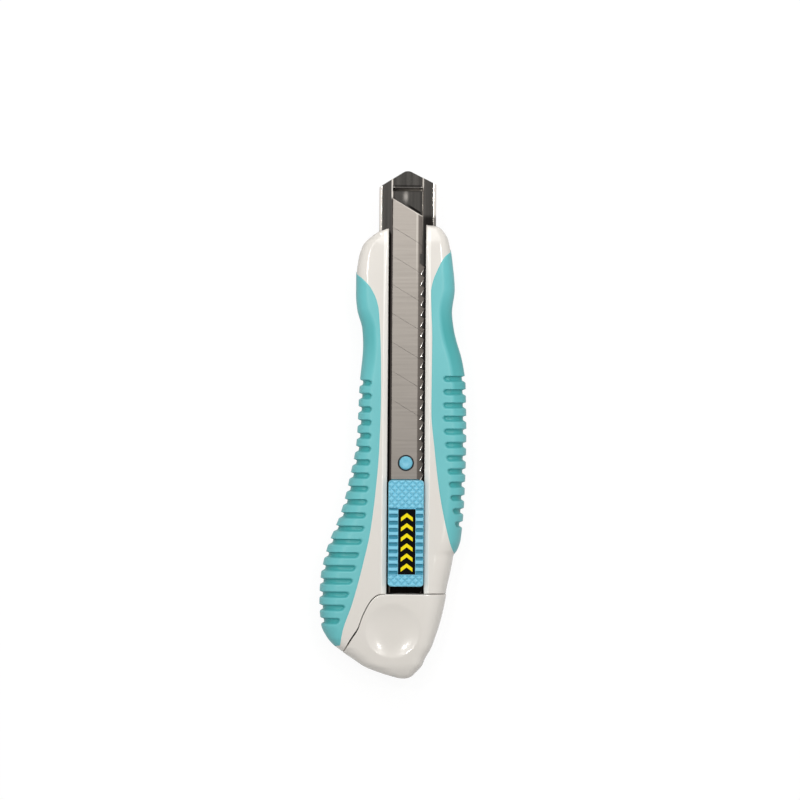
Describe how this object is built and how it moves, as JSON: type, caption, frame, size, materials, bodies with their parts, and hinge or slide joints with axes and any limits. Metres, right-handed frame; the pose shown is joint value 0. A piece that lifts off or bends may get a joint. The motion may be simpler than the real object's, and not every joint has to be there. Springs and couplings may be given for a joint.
{
  "type": "snap-off knife",
  "caption": "Snap-off utility knife with a curved soft-grip handle, a segmented blade in a steel sleeve, a locking thumb slider and a pull-off end cap.",
  "frame": {"origin": "on the flat back that the knife lies on, under the blade's centre line and midway along the knife", "axes": "+Y along the blade towards its point, +Z out of the thumb side, +X towards the finger side"},
  "size_m": [0.051, 0.1767, 0.0205],
  "materials": {
    "white_plastic": "glossy",
    "teal_rubber": "soft satin",
    "dark_steel": "dark polished",
    "blade_steel": "finely ground",
    "spring_steel": "plain",
    "screw_steel": "zinc plated",
    "blue_plastic": "satin",
    "black_plastic": "satin"
  },
  "bodies": {
    "handle": {"front_casing": "white_plastic", "rear_casing": "white_plastic", "palm_grip_front": "teal_rubber", "palm_grip_rear": "teal_rubber", "finger_grip_front": "teal_rubber", "finger_grip_rear": "teal_rubber", "casing_screws": "screw_steel", "blade_sleeve": "dark_steel"},
    "blade_group": {"blade": "blade_steel", "blade_carrier": "blue_plastic", "lock_spring": "spring_steel"},
    "thumb": {"thumb_slider": "blue_plastic", "slider_inlay": "black_plastic"},
    "cap": {"end_cap": "white_plastic"}
  },
  "joints": [
    {"name": "blade_slide", "type": "slide", "parent": "handle", "child": "blade_group", "axis": [0, 1, 0], "range_m": [0, 0.0792], "deforming": ["lock_spring"]},
    {"name": "thumb_float", "type": "slide", "parent": "blade_group", "child": "thumb", "axis": [0, 1, 0], "range_m": [-0.0008, 0.0008], "stiffness_N_per_m": 500},
    {"name": "cap_pull", "type": "slide", "parent": "handle", "child": "cap", "axis": [0, -1, 0], "range_m": [0, 0.014]}
  ]
}
